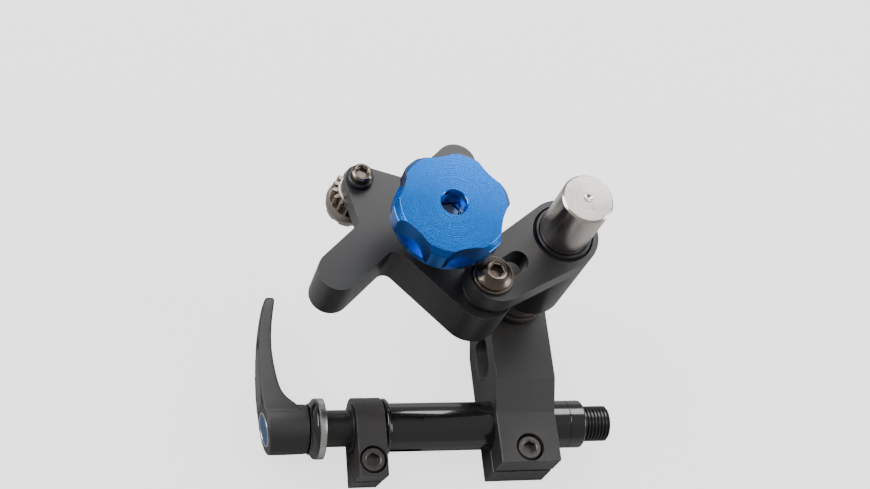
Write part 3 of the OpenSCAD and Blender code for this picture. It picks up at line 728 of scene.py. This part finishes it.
def makeLever():
    s = leverSetup
    lean = Matrix.Rotation(math.radians(s["faceTilt"]), 4, "Z")
    faceMove = Matrix.Translation((mm(s["faceAt"]), 0, 0)) @ lean
    lever = leverBlade(s)
    combine(lever, leverBarrel(s, faceMove), "UNION")
    skin = lever.modifiers.new("skin", "REMESH")
    skin.mode = "VOXEL"
    skin.voxel_size = mm(s["voxel"])
    smooth = lever.modifiers.new("smooth", "SMOOTH")
    smooth.iterations = 9
    smooth.factor = 0.5
    applyAll(lever)
    combine(lever, putPiece(spinProfile("badgeSeat", s["seat"], alongX=True), faceMove))
    combine(lever, spinProfile("leverBore", s["bore"], alongX=True, sides=96))
    smoothBy(lever, 40)
    finishPiece(lever, "lever", "lever_grey", leverGrey, "lever_handle")
    disc = putPiece(spinProfile("leverBadge", s["badge"], alongX=True), faceMove)
    finishPiece(disc, "lever", "badge_blue", badgeBlue, "lever_badge")
    rim = putPiece(spinProfile("badgeRim", s["rim"], alongX=True), faceMove)
    finishPiece(rim, "lever", "washer_silver", washerSilver)


# axle and its washers; outlines of radius and place along the axle

coneOutline = [(9.65, -17.25), (10.2, -17.25), (10.4, -17.05), (10.4, -16.4), (12.1, -15.0),
               (12.3, -14.7), (12.3, -14.05), (12.15, -13.92), (9.65, -13.92)]

washerSetup = {"teeth": 108, "toothDepth": 0.5,
               "outline": [(7.2, -13.88), (12.15, -13.88), (12.4, -13.65), (12.4, -11.7),
                           (12.3, -11.05), (10.2, -11.02), (10.0, -11.3), (7.2, -11.3)]}

shaftSetup = {"grooves": 7, "firstGroove": 100.9, "pitch": 1.5, "crest": 7.48, "root": 6.75,
              "leverEnd": [(3.03, -17.1), (9.35, -17.1), (9.4, -14.95), (7.0, -14.9), (7.0, -11.05),
                           (7.5, -11), (7.5, -0.02), (7.0, 0), (7.0, 99.6), (7.48, 100.1)],
              "farEnd": [(6.6, 111.95), (5.5, 112), (5.2, 111.7), (5.2, -2), (3.03, -2)]}


def makeCone():
    cone = spinProfile("leverCone", coneOutline, alongX=True, sides=160)
    finishPiece(cone, "axle", "tube_black", tubeBlack, "lever_cone")


def makeWasher():
    # every second spoke of the outer face is pushed in to make the teeth
    s = washerSetup
    sides = s["teeth"] * 2
    washer = spinProfile("serratedWasher", s["outline"], alongX=True, sides=sides)
    step = math.tau / sides

    def isNotch(a, b):
        odd = round(math.atan2(a.z, a.y) / step) % 2 == 0
        return odd and min(a.x, b.x) > mm(-11.2) and abs(math.hypot(a.y, a.z) - math.hypot(b.y, b.z)) > mm(1)
    pickEdges(washer, isNotch)
    bpy.ops.transform.translate(value=(mm(-s["toothDepth"]), 0, 0))
    leaveEdit()
    smoothBy(washer, 20)
    finishPiece(washer, "axle", "washer_silver", washerSilver, "serrated_washer")


def makeShaft():
    # rolled rings stand for the thread at the far end
    s = shaftSetup
    crest, root = s["crest"], s["root"]
    thread = []
    for k in range(s["grooves"]):
        x = s["firstGroove"] + s["pitch"] * k
        thread += [(crest, x), (crest, x + 0.25), (root, x + 0.68), (root, x + 0.82), (crest, x + 1.25)]
    shaft = spinProfile("axleShaft", s["leverEnd"] + thread + s["farEnd"], alongX=True)
    finishPiece(shaft, "axle", "axle_black", axleBlack, "axle_shaft")


# guide post and its bushing; outlines of radius and height

postOutline = [(4.0, -1), (6.95, -1), (6.95, 19.5), (10.0, 19.5), (10.0, 110.8), (9.3, 111.5), (1.8, 111.5),
               (0.5, 110.7), (0, 110.7), (0, 13), (4.0, 13)]

postCollarOutline = [(10.02, 19.42), (11.2, 19.42), (11.5, 19.7), (11.5, 22.9), (11.1, 23.4), (10.3, 23.45),
                     (10.02, 23.2)]


def makePost():
    centre = (postAxis.x, postAxis.y, 0)
    low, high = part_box("upper_bushing")
    outer = (high.x - low.x) / 2 * 1000
    bottom, top = low.z * 1000, high.z * 1000
    # bushing with a low lip round the post and a groove where it meets the hub
    bushing = spinProfile("upperBushing", [
        (10.06, bottom), (outer, bottom), (outer, top - 0.8), (outer - 0.5, top - 0.25), (outer - 0.75, top),
        (11.6, top), (11.45, top + 0.2), (11.4, top + 1.0), (11.15, top + 1.3), (10.3, top + 1.3),
        (10.06, top + 1.0)], centre=centre, sides=192)
    finishPiece(bushing, "hub", "bushing_steel", bushingSteel, "upper_bushing")
    post = spinProfile("guidePost", postOutline, centre=centre, sides=192)
    finishPiece(post, "column", "post_steel", postSteel, "guide_post")
    collar = spinProfile("postCollar", postCollarOutline, centre=centre, sides=192)
    finishPiece(collar, "column", "bushing_steel", collarBrown)


# milled and turned parts with broken edges

# CAD part, name, body, slot, chamfer in millimetres, chamfer steps
milledParts = [
    ("drive_plate", "crossPlate", "plate", "plate_black", 0.28, 1),
    ("slotted_arm", "slottedArm", "arm", "plate_black", 0.28, 1),
    ("clamp_column", "clampColumn", "column", "column_black", 0.30, 1),
    ("collar_clamp", "collarClamp", "collar", "column_black", 0.30, 1),
    ("axle_tube", "axleTube", "outer_tube", "tube_black", 0.15, 2),
    ("tube_ring", "tubeRing", "outer_tube", "tube_black", 0.12, 2),
    ("right_end_cap", "rightEndCap", "outer_tube", "tube_black", 0.15, 2),
    ("left_end_cap", "leftEndCap", "axle", "sleeve_black", 0.15, 2),
    ("cutter", "faceCutter", "cutter", "cutter_steel", 0.12, 2),
    ("spindle_bush", "spindleBush", "plate", "sleeve_black", 0.20, 3),
    ("knob_boss", "knobBoss", "plate", "sleeve_black", 0.20, 3),
    ("pivot_spacer", "pivotSpacer", "slider", "sleeve_black", 0.20, 2),
    ("gear_cover", "gearCover", "plate", "plate_black", 0.20, 2),
    ("cover_screws", "coverScrews", "plate", "screw_black", 0.08, 2),
    ("lower_bushing", "lowerBushing", "hub", "bushing_steel", 0.18, 2),
    ("nylon_washer", "nylonWasher", "plate", "nylon_white", 0.15, 2),
]


def makeMilledParts():
    for nodeName, name, body, slotName, chamfer, steps in milledParts:
        piece = soften(copyOf(nodeName, name), mm(chamfer), steps)
        finishPiece(piece, body, slotName, slotMaterials[slotName], nodeName)


makeKnob()
print("knob ready")
makeLever()
print("lever ready")
makeClampScrews()
makePostScrew()
makeSpindleScrew()
makeSlotBolt()
print("screws ready")
makeCone()
makeWasher()
makeShaft()
makePost()
print("axle and post ready")
makeMilledParts()
print("milled parts ready")

# camera, floor and lights

cameraSetup = {"place": (-0.12545, -0.19122, 0.55351), "ahead": (0.26688, 0.42951, -0.86272),
               "roll": 29.07, "lens": 60.17, "sensor": 36.0, "near": 0.01}
stageSetup = {"floorSize": 6.0, "floorColour": (0.3, 0.3, 0.3), "floorRoughness": 0.85, "floorLift": 1.8,
              "skyLight": 0.42, "skySeen": 1.8, "lampAim": (0.03, 0.04, 0.05)}

cameraData = bpy.data.cameras.new("camera")
camera = bpy.data.objects.new("camera", cameraData)
bpy.context.scene.collection.objects.link(camera)
cameraData.lens = cameraSetup["lens"]
cameraData.sensor_width = cameraSetup["sensor"]
cameraData.clip_start = cameraSetup["near"]
camera.location = cameraSetup["place"]
camera.rotation_mode = "QUATERNION"
aim = Vector(cameraSetup["ahead"]).to_track_quat("-Z", "Y")
camera.rotation_quaternion = aim @ Quaternion((0, 0, 1), math.radians(cameraSetup["roll"]))
bpy.context.scene.camera = camera

clearPick()
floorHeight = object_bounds()[0].z
bpy.ops.mesh.primitive_plane_add(size=stageSetup["floorSize"], location=(0, 0, floorHeight))
floor = bpy.context.object
floor.name = "floor"
floorPaint = bpy.data.materials.new("floorPaint")
floorPaint.use_nodes = True
floorTree = floorPaint.node_tree
floorShader = floorTree.nodes["Principled BSDF"]
floorShader.inputs["Base Color"].default_value = (*stageSetup["floorColour"], 1)
floorShader.inputs["Roughness"].default_value = stageSetup["floorRoughness"]
floorShader.inputs["Emission Color"].default_value = (1, 1, 1, 1)
# the floor looks nearly white but throws only a soft light back up
seen = place(floorTree, "ShaderNodeLightPath").outputs["Is Camera Ray"]
lift = mathNode(floorTree, "MULTIPLY", seen, stageSetup["floorLift"])
floorTree.links.new(lift, floorShader.inputs["Emission Strength"])
floor.data.materials.append(floorPaint)

world = bpy.data.worlds.new("studio")
bpy.context.scene.world = world
world.use_nodes = True
sky = world.node_tree.nodes["Background"]
sky.inputs["Color"].default_value = (1, 1, 1, 1)
seen = place(world.node_tree, "ShaderNodeLightPath").outputs["Is Camera Ray"]
glow = mathNode(world.node_tree, "MULTIPLY", seen, stageSetup["skySeen"])
glow = mathNode(world.node_tree, "ADD", glow, stageSetup["skyLight"])
world.node_tree.links.new(glow, sky.inputs["Strength"])

lamps = [
    {"name": "leftSoftbox", "place": (-0.7, 0.25, 0.75), "size": (0.7, 0.9), "power": 14.0},
    {"name": "topSoftbox", "place": (0.25, 0.75, 0.7), "size": (0.9, 0.5), "power": 12.0},
    {"name": "rightSoftbox", "place": (0.8, -0.1, 0.5), "size": (0.4, 0.9), "power": 7.0},
]
target = Vector(stageSetup["lampAim"])
for lamp in lamps:
    light = bpy.data.lights.new(lamp["name"], "AREA")
    light.shape = "RECTANGLE"
    light.size, light.size_y = lamp["size"]
    light.energy = lamp["power"]
    holder = bpy.data.objects.new(lamp["name"], light)
    bpy.context.scene.collection.objects.link(holder)
    holder.location = lamp["place"]
    holder.rotation_mode = "QUATERNION"
    holder.rotation_quaternion = (target - holder.location).to_track_quat("-Z", "Y")
print("stage ready")
